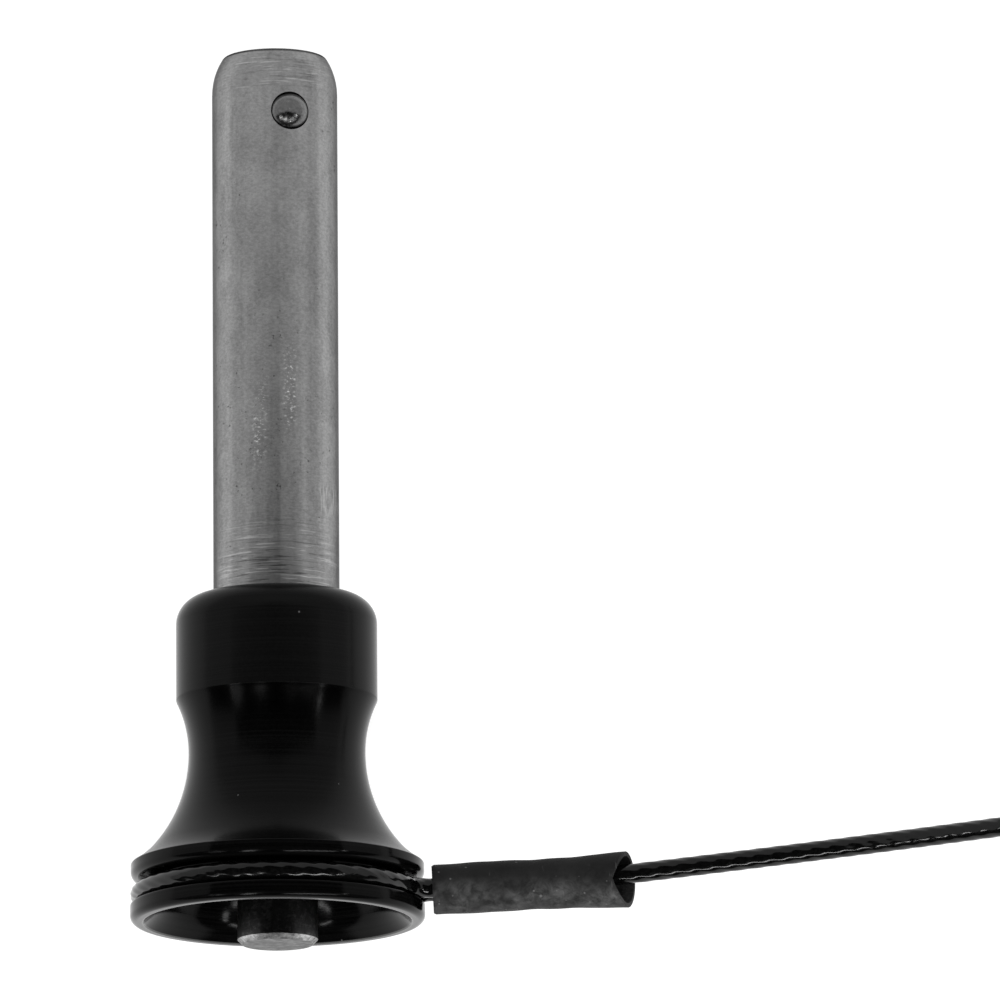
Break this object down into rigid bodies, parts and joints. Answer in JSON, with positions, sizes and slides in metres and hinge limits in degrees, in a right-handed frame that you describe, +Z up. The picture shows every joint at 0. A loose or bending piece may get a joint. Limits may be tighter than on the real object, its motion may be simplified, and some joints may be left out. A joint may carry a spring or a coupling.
{
  "type": "ball lock pin",
  "caption": "Quick-release ball lock pin with a push button handle and a wire rope lanyard, for rigging loudspeakers.",
  "frame": {"origin": "the middle of the pin's length and width, on the surface that it lies on", "axes": "+Y the way the pin's tip points, +X the side that the lanyard leaves on, +Z up. The pin's axis slopes 5.6 degrees down to the tip, as it lies on its upper lip and lower ball"},
  "size_m": [0.1409, 0.0911, 0.0298],
  "materials": {
    "shank_steel": "turned and lightly worn stainless steel",
    "bright_steel": "turned bright",
    "ball_steel": "polished hardened balls",
    "spring_steel": "drawn wire",
    "handle_black": "turned and black anodised",
    "rope_black": "glossy black coating over stranded wire",
    "ferrule_metal": "crimped",
    "sleeve_black": "dusty matt heat-shrunk tube"
  },
  "bodies": {
    "pin": {"shank": "shank_steel", "guide_bush": "bright_steel", "return_spring": "spring_steel", "handle": "handle_black", "handle_washer": "bright_steel", "retaining_ring": "spring_steel", "lanyard_loop": "rope_black", "loop_ferrule": "ferrule_metal", "loop_sleeve": "sleeve_black", "lanyard_cable": "rope_black", "lanyard_coil": "rope_black", "lanyard_tail": "rope_black", "end_ferrule": "ferrule_metal", "end_sleeve": "sleeve_black", "end_loop": "rope_black"},
    "plunger": {"button": "bright_steel", "spindle": "bright_steel"},
    "upper_ball": {"locking_ball_upper": "ball_steel"},
    "lower_ball": {"locking_ball_lower": "ball_steel"}
  },
  "joints": [
    {"name": "button_press", "type": "slide", "parent": "pin", "child": "plunger", "axis": [0, 0.9953, -0.0972], "range_m": [0, 0.003], "stiffness_N_per_m": 2500, "springref_m": -0.002, "deforming": ["return_spring"]},
    {"name": "upper_ball_in", "type": "slide", "parent": "pin", "child": "upper_ball", "axis": [-0.2672, -0.0937, -0.9591], "range_m": [0, 0.00115]},
    {"name": "lower_ball_in", "type": "slide", "parent": "pin", "child": "lower_ball", "axis": [0.2672, 0.0937, 0.9591], "range_m": [0, 0.00115]}
  ],
  "couplings": [
    {"joint": "upper_ball_in", "follows": "button_press", "ratio": 0.38},
    {"joint": "lower_ball_in", "follows": "button_press", "ratio": 0.38}
  ]
}
